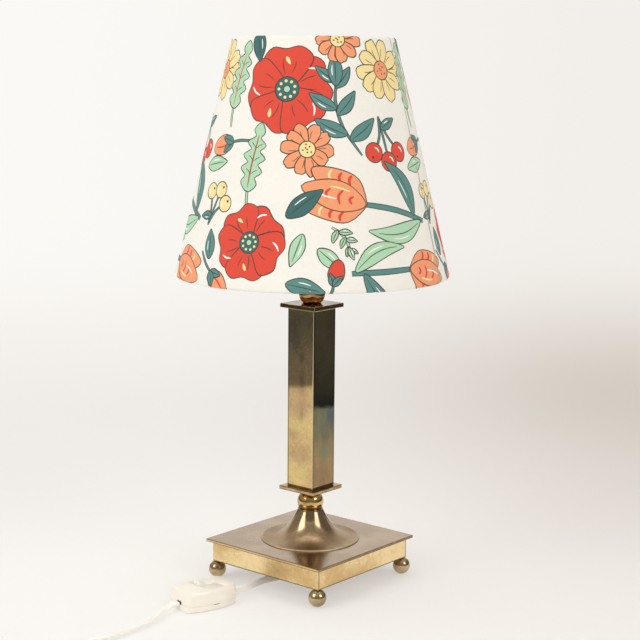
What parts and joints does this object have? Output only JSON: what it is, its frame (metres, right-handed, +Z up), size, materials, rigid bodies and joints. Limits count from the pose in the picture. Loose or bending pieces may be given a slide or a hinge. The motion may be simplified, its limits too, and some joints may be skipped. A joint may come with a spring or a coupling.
{
  "type": "table lamp",
  "caption": "Brass table lamp with a square base on ball feet, flared foot, square column, conical printed fabric shade and a flex with in-line rocker switch.",
  "frame": {"origin": "on the floor under the middle of the square base", "axes": "+Z up along the stem; the sides of the base lie along X and Y; the flex leaves under the side towards -Y"},
  "size_m": [0.2806, 0.477, 0.4764],
  "materials": {
    "brass": "polished brass with age: mottled tarnish, bright worn edges",
    "holder_brass": "plain spun brass",
    "contact_brass": "stamped brass",
    "steel": "plated steel",
    "nickel": "nickel plate",
    "porcelain": "white glaze",
    "white_wire": "white coating on steel wire",
    "bulb_glass": "frosted opal",
    "print_fabric": null,
    "lining": "smooth white backing",
    "flex_pvc": "soft white PVC",
    "cream_plastic": "moulded cream plastic",
    "rocker_plastic": "moulded white plastic",
    "tie": "black coated tie"
  },
  "bodies": {
    "stand": {"ball_foot_back_left": "brass", "ball_foot_back_right": "brass", "ball_foot_front_left": "brass", "ball_foot_front_right": "brass", "base_skirt": "brass", "base_top_plate": "brass", "case_screw_1": "steel", "case_screw_2": "steel", "centre_contact": "contact_brass", "coil_tie": "tie", "cord_grip": "cream_plastic", "corner_block_back_left": "brass", "corner_block_back_right": "brass", "corner_block_front_left": "brass", "corner_block_front_right": "brass", "flared_foot": "brass", "flex_coil": "flex_pvc", "flex_lamp_side": "flex_pvc", "flex_plug_side": "flex_pvc", "flex_tail": "flex_pvc", "grip_screw": "steel", "holder_cap": "holder_brass", "holder_insert": "porcelain", "holder_shell": "holder_brass", "inner_flex": "flex_pvc", "lower_knop": "brass", "lower_square_plate": "brass", "plug_body": "cream_plastic", "plug_pin_1": "nickel", "plug_pin_2": "nickel", "rocker_pin": "steel", "rod_nut": "steel", "rod_washer": "steel", "screw_shell": "nickel", "shade_nut": "holder_brass", "square_column": "brass", "switch_contact": "contact_brass", "switch_lower_case": "cream_plastic", "switch_upper_case": "cream_plastic", "threaded_rod": "steel", "upper_knop": "brass", "upper_square_plate": "brass"},
    "carrier": {"shade_carrier": "white_wire"},
    "shade": {"shade_fabric": "print_fabric", "shade_lining": "lining", "shade_top_ring": "white_wire", "shade_bottom_ring": "white_wire"},
    "bulb": {"bulb_glass": "bulb_glass", "bulb_cap": "nickel", "bulb_contact": "nickel"},
    "rocker": {"switch_rocker": "rocker_plastic"}
  },
  "joints": [
    {"name": "carrier_turn", "type": "hinge", "parent": "stand", "child": "carrier", "pos_m": [0, 0, 0.3024], "axis": [0, 0, 1], "continuous": true},
    {"name": "shade_lift", "type": "slide", "parent": "carrier", "child": "shade", "axis": [0, 0, 1], "range_m": [0, 0.06]},
    {"name": "bulb_unscrew", "type": "slide", "parent": "stand", "child": "bulb", "axis": [0, 0, 1], "range_m": [0, 0.026]},
    {"name": "rocker_tip", "type": "hinge", "parent": "stand", "child": "rocker", "pos_m": [-0.02136, -0.11393, 0.015], "axis": [0.9744, -0.225, 0], "range_deg": [0, 22]}
  ]
}
